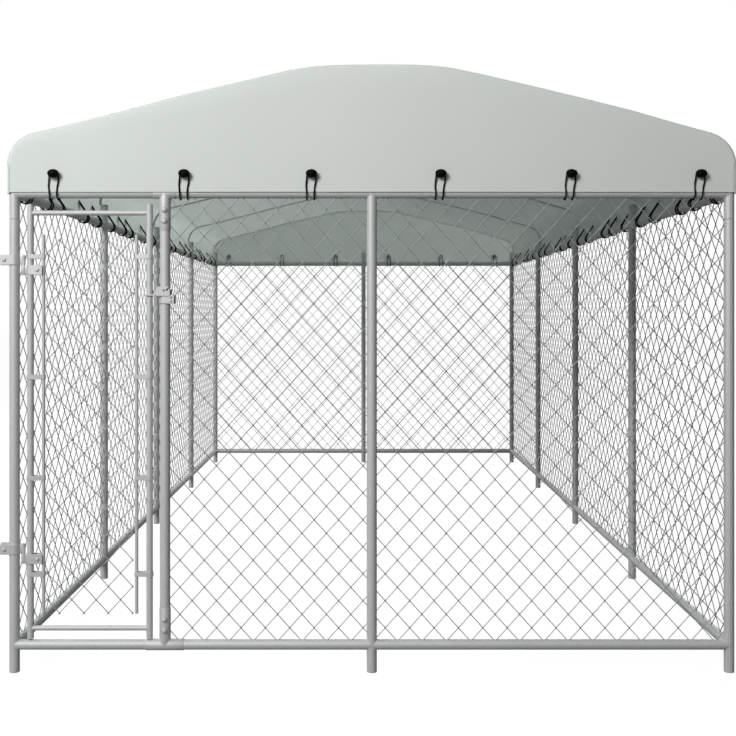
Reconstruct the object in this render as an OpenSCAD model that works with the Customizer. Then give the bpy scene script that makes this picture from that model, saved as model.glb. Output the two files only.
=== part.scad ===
// Outdoor dog kennel run: tube frame, chain-link walls, swing door and fabric canopy.
// Millimetres, +Z up, the door wall faces -Y, the ground is Z = 0 under the middle of the run.

/* [Frame] */
// Distance between neighbouring posts along every wall
bay = 1500; // [1200:50:1800]
// Outside diameter of posts and wall rails
tube_d = 42.4; // [33:0.1:60]
// Wall thickness of the frame tubes
tube_wall = 2; // [1.2:0.1:4]
// Height of the bottom rail axis above the ground
rail_low = 114; // [80:1:200]
// Height of the top rail axis above the ground
rail_high = 2008; // [1700:1:2300]
// Length of post above the top rail axis
post_over = 102; // [60:1:140]

/* [Chain link] */
// Wire diameter
wire_d = 3.2; // [2:0.1:5]
// Width of one diamond
mesh_w = 102.5; // [60:0.5:140]
// Height of one diamond
mesh_h = 113.4; // [60:0.1:160]
// Distance from a post axis to the first crossing at the rail
mesh_start = 107; // [60:1:140]
// The same distance in the bay beside the door, where the cloth is cut from the centre post
mesh_cut = 89; // [60:1:140]
// How far the lowest row of crossings lies below the upper edge of the bottom rail
mesh_drop = 8; // [0:1:40]

/* [Door] */
// Corner post axis to door post axis
doorway = 632; // [560:1:760]
// Corner post axis to hinge stile axis
hinge_side = 67; // [62:1:80]
// Latch stile axis to door post axis
latch_side = 65; // [60:1:80]
// Diameter of the two upright stiles
stile_d = 26.9; // [21:0.1:34]
// Diameter of the two cross rails
cross_d = 21.3; // [16:0.1:27]
// Diameter of the tension bars
bar_d = 13; // [8:0.5:16]
// Gap from stile end to bottom rail
door_low_gap = 4; // [3:0.5:12]
// Gap from stile end to top rail
door_high_gap = 25; // [15:1:60]
// Stile axis to tension bar axis
bar_offset = 54.5; // [45:0.5:70]
// Foot of the stiles to the bottom cross rail axis
cross_low_in = 44; // [30:1:80]
// Top of the stiles to the top cross rail axis
cross_high_in = 36; // [25:1:80]
// Bottom cross rail axis to the foot of the door's chain link
net_foot = 62; // [30:1:90]
// Least distance from the top of the door's chain link to the top cross rail axis
net_head = 90; // [30:1:120]
// Lowest tension band, above the foot of the door's chain link
band_1 = 165; // [120:1:300]
// Second tension band
band_2 = 568; // [400:1:700]
// Third tension band
band_3 = 992; // [800:1:1150]
// Highest tension band
band_4 = 1497; // [1300:1:1560]

/* [Hinges and latch] */
// Hinge pin diameter
pin_d = 12; // [8:0.5:14]
// Corner post axis to hinge pin axis
pin_offset = 38; // [36:0.5:44]
// Height of each hinge leaf
leaf_h = 42; // [30:1:60]
// Sheet thickness of straps and bands
strap_t = 3; // [2:0.25:5]
// Height of the joint between the leaves of the upper hinge
hinge_high = 1707; // [1400:1:1800]
// Height of the joint between the leaves of the lower hinge
hinge_low = 496; // [300:1:700]
// Height of the latch pivot
latch_z = 1600; // [900:1:1700]
// Latch pivot diameter
pivot_d = 10; // [6:0.5:12]

/* [Canopy] */
// Fabric thickness as modelled
cloth_t = 2; // [1:0.25:4]
// Top rail axis to inside of the hanging skirt
skirt_in = 24; // [24:0.5:60]
// Height of the ridge above the top rail axis
ridge_rise = 538; // [350:1:800]
// Height above the rail where the roof slope would meet the skirt
eave_rise = 229; // [200:1:300]
// Half of the width of the ridge, to where its line meets the slope
ridge_half = 273; // [150:1:400]
// Width of the flat hoops under the roof
hoop_w = 30; // [20:1:60]
// Thickness of the hoops
hoop_t = 3; // [2:0.25:5]

/* [Bungees] */
// Cord diameter
cord_d = 6.4; // [4:0.2:8]
// Distance between the two strands of a loop
strand_gap = 35; // [26:1:38]
// Knob length along the rail
knob_l = 47; // [40:1:56]
// Knob diameter
knob_d = 36; // [30:1:44]
// Distance between knobs on the front and back
front_pitch = 539; // [450:0.1:600]
// Sideways shift of the row of knobs on the front
front_shift = 22; // [0:1:60]

/* [Hidden] */
seat = 0.2;
slide = 0.3;
$fn = 48;
wide = 2 * bay;
long = 4 * bay;
tube_r = tube_d / 2;
front = -long / 2;
left = -wide / 2;
post_top = rail_high + post_over;
bore_d = tube_d - 2 * tube_wall;
cope_d = tube_d + 2 * seat;
stile_wall = 1.8;
stile_r = stile_d / 2;
post_x = left + doorway;
hinge_x = left + hinge_side;
latch_x = post_x - latch_side;
pin_x = left + pin_offset;
door_low = rail_low + tube_r + door_low_gap;
door_high = rail_high - tube_r - door_high_gap;
cross_low = door_low + cross_low_in;
cross_high = door_high - cross_high_in;
net_low = cross_low + net_foot;
net_high = cross_high - net_head;
net_count = floor((net_high - net_low) / mesh_h);
net_shift = 31;
net_top = net_low + net_count * mesh_h;
band_h = 19;
band_t = 2.5;
band_z = [net_low + band_1, net_low + band_2, net_low + band_3, net_low + band_4];
bar_low = net_low - 8;
bar_high = net_top + 12;
cloth_x = wide / 2 + skirt_in + cloth_t;
cloth_y = long / 2 + skirt_in + cloth_t;
cloth_r = 130;
ridge_r = 1100;
hem_z = rail_high + 2;
ridge_z = rail_high + ridge_rise;
eave_z = rail_high + eave_rise;
slope = atan((ridge_z - eave_z) / (cloth_x - ridge_half));
hoop_in = cloth_t + slide;
hoop_cuts = [cloth_x - cloth_r + cloth_r * sin(slope), ridge_half + ridge_r * (sin(slope) - tan(slope / 2))];
cap_plug = 20;
cap_d = bore_d - 2 * seat;
cap_h = 12;
cord_r = cord_d / 2;
cord_out = skirt_in + cloth_t + slide + cord_r;
cord_in = tube_r + slide + cord_r;
loop_r = (cord_out + cord_in) / 2;
loop_y = (cord_in - cord_out) / 2;
lift = 33;
bead = 0.15;
knob_z = 78;
knob_y = skirt_in + cloth_t + slide + knob_d / 2;
eye_z = loop_r * sin(lift) + (loop_y + loop_r * cos(lift) + skirt_in + cloth_t / 2) / tan(lift);
eye_h = 16;
tee_wall = 2;
tee_bore = tube_d + 2 * seat;
tee_d = tee_bore + 2 * tee_wall;
tee_l = 157;
tee_low_arm = 80;
tee_high_arm = 46;
tee_bolt_d = 8;
tee_bolts_at = [72, 118];
bolt_d = 8;
bolt_hole = bolt_d + 2 * slide;
strap_gap = 0.15;
post_ear = 66;
post_ear_bolt = 36;
gate_ear = 52;
gate_ear_bolt = 33;
barrel_d = pin_d + 7;
clamp_t = 4;
clamp_h = 38;
clamp_z = latch_z - 55;
clamp_ear = 41;
clamp_bolt = tube_r + 6.3;
fork_y = tube_r + strap_gap + clamp_t + 1;
fork_t = 3;
arm_d = 6;
arm_z = -20;
arm_y = stile_r + 1 + arm_d / 2;
arm_tip = latch_side + 14;
arm_root = 35;
front_bungees = [for (i = [0:5]) let(x = (i - 2.5) * front_pitch + front_shift)
  x < 0 ? -mesh_cut - between_wires(-x - mesh_cut) : mesh_start + between_wires(x - mesh_start)];
side_steps = [0.097, 0.295, 0.425, 0.72, 0.89];
side_bungees = [for (b = [0:3]) for (t = side_steps)
  front + b * bay + mesh_start + between_wires(t * bay - mesh_start)];

module tube(h, d, w) {
  difference() {
    cylinder(h = h, d = d);
    translate([0, 0, -1])
      cylinder(h = h + 2, d = d - 2 * w);
  }
}

module along_x(x) {
  translate([x, 0, 0])
    rotate([0, 90, 0])
      children();
}

module along_y(y) {
  translate([0, y, 0])
    rotate([-90, 0, 0])
      children();
}

module post(x, y) {
  translate([x, y, 0])
    tube(post_top, tube_d, tube_wall);
}

// A wall rail between two posts, each end coped to the post it meets.
module rail_x(x, y, z) {
  difference() {
    translate([x, y, z])
      along_x(0)
        tube(bay, tube_d, tube_wall);
    for (e = [0, bay])
      translate([x + e, y, z - tube_d])
        cylinder(h = 2 * tube_d, d = cope_d);
    corner = x < 0 ? left : -left;
    mitre(corner, y, z, sign(corner), -sign(y));
  }
}

module rail_y(x, y, z) {
  difference() {
    translate([x, y, z])
      along_y(0)
        tube(bay, tube_d, tube_wall);
    for (e = [0, bay])
      translate([x, y + e, z - tube_d])
        cylinder(h = 2 * tube_d, d = cope_d);
    for (end = [front, -front])
      mitre(x, end, z, -sign(x), sign(end));
  }
}

// Half space beyond the diagonal of a corner, so that two rails meet there without crossing.
module mitre(x, y, z, dx, dy) {
  translate([x, y, z])
    rotate([0, 0, atan2(dy, dx)])
      translate([-seat / 2, -tube_d, -tube_d])
        cube([1.5 * tube_d, 2 * tube_d, 2 * tube_d]);
}

// Chain link in the XZ plane: the rising runs lie in front of the falling runs.
module net(w, h, start, drop) {
  m = wire_d / 2 * 0.75 + seat;
  layer = wire_d / 2 + strap_gap;
  k = mesh_h / mesh_w;
  n = ceil((w + h / k) / mesh_w) + 2;
  for (i = [-n:n]) {
    c = start + i * mesh_w + drop / k;
    a = max(m, (m - c) * k);
    b = min(h - m, (w - m - c) * k);
    if (b - a > 12)
      wire([c + a / k, -layer, a], [c + b / k, -layer, b]);
    c2 = start + i * mesh_w - drop / k;
    a2 = max(m, (c2 - w + m) * k);
    b2 = min(h - m, (c2 - m) * k);
    if (b2 - a2 > 12)
      wire([c2 - a2 / k, layer, a2], [c2 - b2 / k, layer, b2]);
  }
}

module wire(p, q) {
  v = q - p;
  translate(p)
    rotate([0, atan2(v[0], v[2]), 0])
      cylinder(h = norm(v), d = wire_d, $fn = 16);
}

// One wall bay of chain link, from tube face to tube face.
module wall_net(w, start) {
  translate([tube_r, 0, rail_low + tube_r])
    net(w - tube_d, rail_high - rail_low - tube_d, start - tube_r, mesh_drop);
}

// Distance from u to the nearest whole number of diamonds.
function to_crossing(u) = abs(u - mesh_w * round(u / mesh_w));

// Sideways distance from the strands of a loop to the nearest wire, where they pass under the rail.
// The loop stands at u from the first crossing.
function wire_gap(u) = let(up = (rail_high - loop_r - rail_low - tube_r + mesh_drop) / mesh_h * mesh_w)
  min([for (s = [-1, 1]) for (w = [-1, 1]) to_crossing(u + s * strand_gap / 2 + w * up)]);

// Nearest place to u where both strands of a loop pass between the wires of the wall.
function between_wires(u) = let(room = (cord_r + wire_d / 2 + slide) * sqrt(1 + pow(mesh_w / mesh_h, 2)))
  [for (d = [0:0.5:mesh_w / 4]) for (s = [-1, 1]) if (wire_gap(u + s * d) >= room) u + s * d][0];

// Room for a tee, so that the wires stop at its sleeves.
module tee_room(arm) {
  along_x(-arm - slide)
    cylinder(h = 2 * (arm + slide), d = tee_d + 2 * slide);
  cylinder(h = tee_l + slide, d = tee_d + 2 * slide);
}

// Room for a hinge strap on the corner post.
module strap_room(z) {
  translate([left, front, z - slide])
    cylinder(h = leaf_h + 2 * slide, d = tube_d + 2 * (strap_gap + strap_t + slide));
}

module tee(arm) {
  difference() {
    union() {
      along_x(-arm)
        cylinder(h = 2 * arm, d = tee_d);
      cylinder(h = tee_l, d = tee_d);
    }
    along_x(-arm - 1)
      cylinder(h = 2 * arm + 2, d = tee_bore);
    translate([0, 0, tube_r])
      cylinder(h = tee_l, d = tee_bore);
    for (z = tee_bolts_at)
      translate([0, 0, z])
        along_y(-tee_d)
          cylinder(h = 2 * tee_d, d = tee_bolt_d + 2 * slide, $fn = 24);
  }
}

// Round-headed bolt along +Y: the head seats at y = 0, the nut at y = grip.
module bolt(d, grip, head_d) {
  along_y(0)
    rotate_extrude()
      polygon([[0, -5], [head_d * 0.22, -5], [head_d * 0.4, -3.6], [head_d / 2, -1.2], [head_d / 2, 0],
        [d / 2, 0], [d / 2, grip + 9], [0, grip + 9]]);
}

module nut(d, grip) {
  along_y(grip)
    difference() {
      cylinder(h = 6, d = d * 1.75, $fn = 6);
      translate([0, 0, -1])
        cylinder(h = 8, d = d + 2 * seat, $fn = 24);
    }
}

module bolt_set(d, grip, head_d) {
  translate([0, -seat, 0])
    bolt(d, grip + 2 * seat, head_d);
  translate([0, seat, 0])
    nut(d, grip);
}

// Bent strap round an upright of diameter d, with two flat ears toward +X and a cross hole.
module strap(d, t, ear, h, hole_x) {
  r = d / 2 + strap_gap;
  difference() {
    linear_extrude(h)
      difference() {
        union() {
          circle(r + t);
          translate([0, -r - t])
            square([ear, 2 * (r + t)]);
        }
        circle(r);
        translate([0, -r])
          square([ear + 1, 2 * r]);
      }
    for (z = hole_x[1])
      translate([hole_x[0], 0, z])
        along_y(-r - t - 1)
          cylinder(h = 2 * (r + t + 1), d = hole_x[2], $fn = 24);
  }
}

// Fixed leaf: strap on the corner post with the hinge pin standing on its door side.
module post_hinge(z) {
  translate([left, front, z]) {
    difference() {
      union() {
        mirror([1, 0, 0])
          strap(tube_d, strap_t, post_ear, leaf_h, [post_ear_bolt, [leaf_h / 2], bolt_hole]);
        translate([tube_r + 1, -5, 0])
          cube([pin_offset - tube_r - 1, 10, leaf_h]);
        translate([pin_offset, 0, 0])
          cylinder(h = leaf_h, d = pin_d + 4);
        translate([pin_offset, 0, -leaf_h])
          cylinder(h = leaf_h + 1, d = pin_d);
      }
      translate([0, 0, -leaf_h - 1])
        cylinder(h = 2 * leaf_h + 2, d = tube_d + 2 * strap_gap);
    }
  }
}

// Moving leaf: strap on the hinge stile with a barrel that turns on the pin.
module gate_hinge(z) {
  reach = hinge_side - pin_offset;
  translate([hinge_x, front, z - leaf_h + 0.5]) {
    difference() {
      union() {
        strap(stile_d, strap_t, gate_ear, leaf_h - 1, [gate_ear_bolt, [leaf_h / 2], bolt_hole]);
        translate([-reach, -5, 0])
          cube([reach - stile_r - 1, 10, leaf_h - 1]);
        translate([-reach, 0, 0])
          cylinder(h = leaf_h - 1, d = barrel_d);
      }
      translate([0, 0, -1])
        cylinder(h = leaf_h + 2, d = stile_d + 2 * strap_gap);
      translate([-reach, 0, -1])
        cylinder(h = leaf_h + 2, d = pin_d + 2 * slide);
    }
  }
}

// Outline of a belt round two circles of different size, the small one at distance c.
module belt(r1, r2, c) {
  s = (r1 - r2) / c;
  k = sqrt(1 - s * s);
  circle(r1);
  translate([c, 0])
    circle(r2);
  polygon([[r1 * s, r1 * k], [c + r2 * s, r2 * k], [c + r2 * s, -r2 * k], [r1 * s, -r1 * k]]);
}

// Pressed band round a stile and its tension bar, open where the wires reach the bar.
module tension_band() {
  g = strap_gap;
  linear_extrude(band_h)
    difference() {
      belt(stile_r + g + band_t, bar_d / 2 + g + band_t, bar_offset);
      belt(stile_r + g, bar_d / 2 + g, bar_offset);
      translate([bar_offset, -wire_d - 2 * slide - strap_gap])
        square([bar_d, 2 * (wire_d + 2 * slide + strap_gap)]);
    }
}

// Points of an arc, for the canopy outline.
function arc(c, r, a, b, n) = [for (i = [0:n]) [c[0] + r * cos(a + (b - a) * i / n),
  c[1] + r * sin(a + (b - a) * i / n)]];

// Right half of the canopy outline from hem to ridge, set in by t.
function half_outline(t) = let(
    x = cloth_x - t,
    re = cloth_r - t,
    rr = ridge_r - t,
    ce = [cloth_x - cloth_r, eave_z - cloth_r * tan(45 - slope / 2)],
    cr = [ridge_half - ridge_r * tan(slope / 2), ridge_z - ridge_r])
  concat([[x, hem_z]], arc(ce, re, 0, 90 - slope, 10), arc(cr, rr, 90 - slope, 90, 8));

function outline(t) = let(h = half_outline(t))
  concat(h, [for (i = [len(h) - 1:-1:0]) [-h[i][0], h[i][1]]]);

module eyelet() {
  w = strand_gap;
  translate([-w / 2, -eye_h / 2])
    square([w, eye_h]);
  for (s = [-1, 1])
    translate([s * w / 2, 0])
      circle(d = eye_h);
}

module gable(y) {
  translate([0, y + cloth_t, 0])
    rotate([90, 0, 0])
      linear_extrude(cloth_t)
        difference() {
          polygon(outline(cloth_t + seat));
          for (x = front_bungees)
            translate([x, rail_high + eye_z])
              eyelet();
        }
}

// A flat sprung hoop under the roof, in five strips set end to end, with its feet on the post caps.
module hoop(y) {
  inner = hoop_in + hoop_t;
  translate([0, y + hoop_w / 2, 0])
    rotate([90, 0, 0])
      linear_extrude(hoop_w)
        difference() {
          polygon(outline(hoop_in));
          polygon(concat([[cloth_x - inner, hem_z - 1]], outline(inner), [[inner - cloth_x, hem_z - 1]]));
          for (x = hoop_cuts)
            for (s = [-1, 1])
              translate([s * x - seat / 2, hem_z])
                square([seat, ridge_z - hem_z]);
          translate([-cloth_x, hem_z - 1])
            square([2 * cloth_x, post_top + cap_h + 2 * seat - hem_z + 1]);
        }
}

module post_cap(x, y) {
  translate([x, y, post_top]) {
    translate([0, 0, -cap_plug])
      cylinder(h = cap_plug + seat, d = cap_d);
    translate([0, 0, seat])
      cylinder(h = cap_h, d = tube_d);
  }
}

// One strand of a bungee loop, at the rail axis, with the outside of the wall toward -Y.
// A small bead covers each joint between a straight run and the bend under the rail.
module strand() {
  reach = (loop_y + loop_r * cos(lift) + skirt_in + cloth_t) / sin(lift);
  skip = 0.6;
  translate([0, -cord_out, skip])
    cylinder(h = knob_z - 4 - skip, r = cord_r, $fn = 24);
  translate([0, -cord_out, 0])
    sphere(cord_r + bead, $fn = 24);
  translate([0, loop_y, 0]) {
    rotate([90, 0, 90])
      rotate([0, 0, 181])
        rotate_extrude(angle = 178 + lift)
          translate([loop_r, 0])
            circle(cord_r, $fn = 24);
    rotate([lift, 0, 0])
      translate([0, loop_r, 0]) {
        sphere(cord_r + bead, $fn = 24);
        translate([0, 0, skip])
          cylinder(h = reach - skip, r = cord_r, $fn = 24);
      }
  }
}

module bungee_cord() {
  for (s = [-1, 1])
    translate([s * strand_gap / 2, 0, 0])
      strand();
}

module bungee_knob() {
  e = 11;
  difference() {
    translate([0, -knob_y, knob_z])
      along_x(-knob_l / 2)
        rotate_extrude()
          intersection() {
            union() {
              translate([0, e])
                square([knob_d / 2, knob_l - 2 * e]);
              square([knob_d / 2 - e, knob_l]);
              for (z = [e, knob_l - e])
                translate([knob_d / 2 - e, z])
                  circle(e);
            }
            square([knob_d, knob_l]);
          }
    for (s = [-1, 1])
      translate([s * strand_gap / 2, -cord_out, 0])
        cylinder(h = knob_z - 4 + seat, r = cord_r + slide, $fn = 24);
  }
}

module on_front() {
  for (x = front_bungees)
    translate([x, front, rail_high])
      children();
}

module on_back() {
  for (x = front_bungees)
    translate([-x, -front, rail_high])
      rotate([0, 0, 180])
        children();
}

module on_left() {
  for (y = side_bungees)
    translate([left, y, rail_high])
      rotate([0, 0, -90])
        children();
}

module on_right() {
  for (y = side_bungees)
    translate([-left, y, rail_high])
      rotate([0, 0, 90])
        children();
}

module front_left_post() { color("silver") post(left, front); }
module front_right_post() { color("silver") post(-left, front); }
module back_left_post() { color("silver") post(left, -front); }
module back_right_post() { color("silver") post(-left, -front); }
module front_centre_post() { color("silver") post(0, front); }
module back_centre_post() { color("silver") post(0, -front); }

module left_side_posts() {
  color("silver")
    for (i = [1:3])
      post(left, front + i * bay);
}

module right_side_posts() {
  color("silver")
    for (i = [1:3])
      post(-left, front + i * bay);
}

// Door post: held in a tee at each end, cross-drilled for the tee bolts and the latch pivot.
module door_post() {
  low = rail_low + tube_r + 1.5;
  high = rail_high - tube_r - 1.5;
  color("silver")
    difference() {
      translate([post_x, front, low])
        tube(high - low, tube_d, tube_wall);
      for (s = tee_bolts_at)
        for (z = [rail_low + s, rail_high - s])
          translate([post_x, front, z])
            along_y(-tube_d)
              cylinder(h = 2 * tube_d, d = tee_bolt_d + 2 * slide, $fn = 24);
      translate([post_x, front, latch_z])
        along_y(-tube_d)
          cylinder(h = 2 * tube_d, d = pivot_d + 2 * slide);
    }
}

module front_left_bottom_rail() { color("silver") rail_x(left, front, rail_low); }
module front_right_bottom_rail() { color("silver") rail_x(0, front, rail_low); }
module front_left_top_rail() { color("silver") rail_x(left, front, rail_high); }
module front_right_top_rail() { color("silver") rail_x(0, front, rail_high); }

module back_bottom_rails() {
  color("silver")
    for (x = [left, 0])
      rail_x(x, -front, rail_low);
}

module back_top_rails() {
  color("silver")
    for (x = [left, 0])
      rail_x(x, -front, rail_high);
}

module left_bottom_rails() {
  color("silver")
    for (i = [0:3])
      rail_y(left, front + i * bay, rail_low);
}

module right_bottom_rails() {
  color("silver")
    for (i = [0:3])
      rail_y(-left, front + i * bay, rail_low);
}

module left_top_rails() {
  color("silver")
    for (i = [0:3])
      rail_y(left, front + i * bay, rail_high);
}

module right_top_rails() {
  color("silver")
    for (i = [0:3])
      rail_y(-left, front + i * bay, rail_high);
}

module door_post_top_tee() {
  color("gainsboro")
    translate([post_x, front, rail_high])
      rotate([180, 0, 0])
        tee(tee_high_arm);
}

module door_post_bottom_tee() {
  color("gainsboro")
    translate([post_x, front, rail_low])
      tee(tee_low_arm);
}

module tee_bolts() {
  color("gray")
    for (s = tee_bolts_at)
      for (z = [rail_low + s, rail_high - s])
        translate([post_x, front - tee_d / 2, z])
          bolt_set(tee_bolt_d, tee_d, 20);
}

module front_hoop() { color("silver") hoop(front); }
module back_hoop() { color("silver") hoop(-front); }

module middle_hoops() {
  color("silver")
    for (i = [1:3])
      hoop(front + i * bay);
}

module post_caps() {
  color("dimgray") {
    for (i = [0:4])
      for (x = [left, -left])
        post_cap(x, front + i * bay);
    for (y = [front, -front])
      post_cap(0, y);
  }
}

module canopy_roof() {
  color("lightgray")
    difference() {
      translate([0, cloth_y, 0])
        rotate([90, 0, 0])
          linear_extrude(2 * cloth_y)
            difference() {
              polygon(outline(0));
              polygon(concat([[cloth_x - cloth_t, hem_z - 1]], outline(cloth_t),
                [[cloth_t - cloth_x, hem_z - 1]]));
            }
      for (y = side_bungees)
        for (s = [-1, 1])
          translate([s * (cloth_x - cloth_t / 2), y, rail_high + eye_z])
            rotate([90, 0, 90])
              linear_extrude(4 * cloth_t, center = true)
                eyelet();
    }
}

module canopy_front_gable() { color("lightgray") gable(-cloth_y); }
module canopy_back_gable() { color("lightgray") rotate([0, 0, 180]) gable(-cloth_y); }

module front_left_mesh() {
  w = bay - doorway;
  color("darkgray")
    difference() {
      translate([post_x, front, 0])
        wall_net(w, w - mesh_cut);
      translate([post_x, front, rail_low])
        tee_room(tee_low_arm);
      translate([post_x, front, rail_high])
        rotate([180, 0, 0])
          tee_room(tee_high_arm);
    }
}

module front_right_mesh() {
  color("darkgray")
    translate([0, front, 0])
      wall_net(bay, mesh_start);
}

module back_left_mesh() {
  color("darkgray")
    translate([left, -front, 0])
      wall_net(bay, bay - mesh_start);
}

module back_right_mesh() {
  color("darkgray")
    translate([0, -front, 0])
      wall_net(bay, mesh_cut);
}

module left_wall_mesh() {
  color("darkgray") {
    for (i = [1:3])
      translate([left, front + i * bay, 0])
        rotate([0, 0, 90])
          wall_net(bay, mesh_start);
    difference() {
      translate([left, front, 0])
        rotate([0, 0, 90])
          wall_net(bay, mesh_start);
      for (z = [hinge_low, hinge_high])
        strap_room(z);
    }
  }
}

module right_wall_mesh() {
  color("darkgray")
    for (i = [0:3])
      translate([-left, front + i * bay, 0])
        rotate([0, 0, 90])
          wall_net(bay, mesh_start);
}

module front_bungee_cords() { color("black") on_front() bungee_cord(); }
module back_bungee_cords() { color("black") on_back() bungee_cord(); }
module left_bungee_cords() { color("black") on_left() bungee_cord(); }
module right_bungee_cords() { color("black") on_right() bungee_cord(); }
module front_bungee_knobs() { color("black") on_front() bungee_knob(); }
module back_bungee_knobs() { color("black") on_back() bungee_knob(); }
module left_bungee_knobs() { color("black") on_left() bungee_knob(); }
module right_bungee_knobs() { color("black") on_right() bungee_knob(); }

module upper_post_hinge() { color("gainsboro") post_hinge(hinge_high); }
module lower_post_hinge() { color("gainsboro") post_hinge(hinge_low); }

module post_hinge_bolts() {
  grip = tube_d + 2 * strap_gap + 2 * strap_t;
  color("gray")
    for (z = [hinge_low, hinge_high])
      translate([left - post_ear_bolt, front - grip / 2, z + leaf_h / 2])
        bolt_set(bolt_d, grip, 17);
}

module latch_clamp() {
  color("gainsboro")
    translate([post_x, front, clamp_z])
      strap(tube_d, clamp_t, clamp_ear, clamp_h, [clamp_bolt, [11, 27], 6 + 2 * slide]);
}

module latch_clamp_bolts() {
  grip = tube_d + 2 * strap_gap + 2 * clamp_t;
  color("gray")
    for (z = [11, 27])
      translate([post_x + clamp_bolt, front - grip / 2, clamp_z + z])
        bolt_set(6, grip, 11);
}

module door_hinge_stile() {
  color("silver")
    translate([hinge_x, front, door_low])
      tube(door_high - door_low, stile_d, stile_wall);
}

module door_latch_stile() {
  color("silver")
    translate([latch_x, front, door_low])
      tube(door_high - door_low, stile_d, stile_wall);
}

// Cross rail of the door, coped to both stiles.
module cross_rail(z) {
  difference() {
    translate([hinge_x, front, z])
      along_x(0)
        tube(latch_x - hinge_x, cross_d, stile_wall);
    for (x = [hinge_x, latch_x])
      translate([x, front, z - cross_d])
        cylinder(h = 2 * cross_d, d = stile_d + 2 * seat);
  }
}

module door_top_rail() { color("silver") cross_rail(cross_high); }
module door_bottom_rail() { color("silver") cross_rail(cross_low); }

module door_tension_bars() {
  color("silver")
    for (x = [hinge_x + bar_offset, latch_x - bar_offset])
      translate([x, front, bar_low])
        cylinder(h = bar_high - bar_low, d = bar_d);
}

module door_tension_bands() {
  color("gainsboro")
    for (z = band_z) {
      translate([hinge_x, front, z - band_h / 2])
        tension_band();
      translate([latch_x, front, z - band_h / 2])
        mirror([1, 0, 0])
          tension_band();
    }
}

module door_mesh() {
  x = hinge_x + bar_offset + bar_d / 2;
  w = latch_x - hinge_x - 2 * bar_offset - bar_d;
  color("darkgray")
    translate([x, front, net_low])
      net(w, net_count * mesh_h, w / 2 - net_shift, 0);
}

module upper_gate_hinge() { color("gainsboro") gate_hinge(hinge_high); }
module lower_gate_hinge() { color("gainsboro") gate_hinge(hinge_low); }

module gate_hinge_bolts() {
  grip = stile_d + 2 * strap_gap + 2 * strap_t;
  color("gray")
    for (z = [hinge_low, hinge_high])
      translate([hinge_x + gate_ear_bolt, front - grip / 2, z - leaf_h / 2 + 0.5])
        bolt_set(bolt_d, grip, 17);
}

// Swinging latch: a pivot through the door post carries a plate and a finger on each side.
module latch_fork() {
  color("gainsboro")
    translate([post_x, front, latch_z]) {
      along_y(-fork_y - fork_t)
        cylinder(h = 2 * (fork_y + fork_t), d = pivot_d);
      for (s = [-1, 1]) {
        difference() {
          translate([-arm_root + 3, s * (fork_y + fork_t / 2) - fork_t / 2, arm_z - arm_d / 2])
            cube([arm_root + 21, fork_t, 16 - arm_z + arm_d / 2]);
          translate([12, s * (fork_y + fork_t / 2), 2])
            along_y(-fork_t)
              cylinder(h = 2 * fork_t, d = 9, $fn = 24);
          translate([12, s * (fork_y + fork_t / 2), 2])
            rotate([0, -40, 0])
              translate([0, -fork_t, -2.5])
                cube([30, 2 * fork_t, 5]);
        }
        translate([-arm_root - 3, min(s * (arm_y - 3), s * (fork_y + fork_t)), arm_z - arm_d / 2])
          cube([arm_d + 1, fork_y + fork_t - arm_y + 3, arm_d]);
        translate([0, s * arm_y, arm_z])
          along_x(-arm_tip)
            cylinder(h = arm_tip - arm_root, d = arm_d);
      }
    }
}

front_left_post();
front_right_post();
back_left_post();
back_right_post();
left_side_posts();
right_side_posts();
front_centre_post();
back_centre_post();
door_post();
front_left_bottom_rail();
front_right_bottom_rail();
back_bottom_rails();
left_bottom_rails();
right_bottom_rails();
front_left_top_rail();
front_right_top_rail();
back_top_rails();
left_top_rails();
right_top_rails();
door_post_top_tee();
door_post_bottom_tee();
tee_bolts();
front_hoop();
middle_hoops();
back_hoop();
post_caps();
canopy_roof();
canopy_front_gable();
canopy_back_gable();
front_left_mesh();
front_right_mesh();
back_left_mesh();
back_right_mesh();
left_wall_mesh();
right_wall_mesh();
front_bungee_cords();
back_bungee_cords();
left_bungee_cords();
right_bungee_cords();
front_bungee_knobs();
back_bungee_knobs();
left_bungee_knobs();
right_bungee_knobs();
upper_post_hinge();
lower_post_hinge();
post_hinge_bolts();
latch_clamp();
latch_clamp_bolts();
door_hinge_stile();
door_latch_stile();
door_top_rail();
door_bottom_rail();
door_tension_bars();
door_tension_bands();
door_mesh();
upper_gate_hinge();
lower_gate_hinge();
gate_hinge_bolts();
latch_fork();
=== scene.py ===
# %% [markdown]
# # Outdoor dog kennel run
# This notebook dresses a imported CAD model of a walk-in dog run: a frame of galvanised tube, walls of
# chain link, a swing door with two strap hinges and a lifting latch, and a cloth canopy tied to the
# top rails with knobbed bungee loops. The CAD model gives every place; Blender gives the finish.

# %% Load the frame
import math

import bmesh
import bpy
from mathutils import Matrix, Vector


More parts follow.
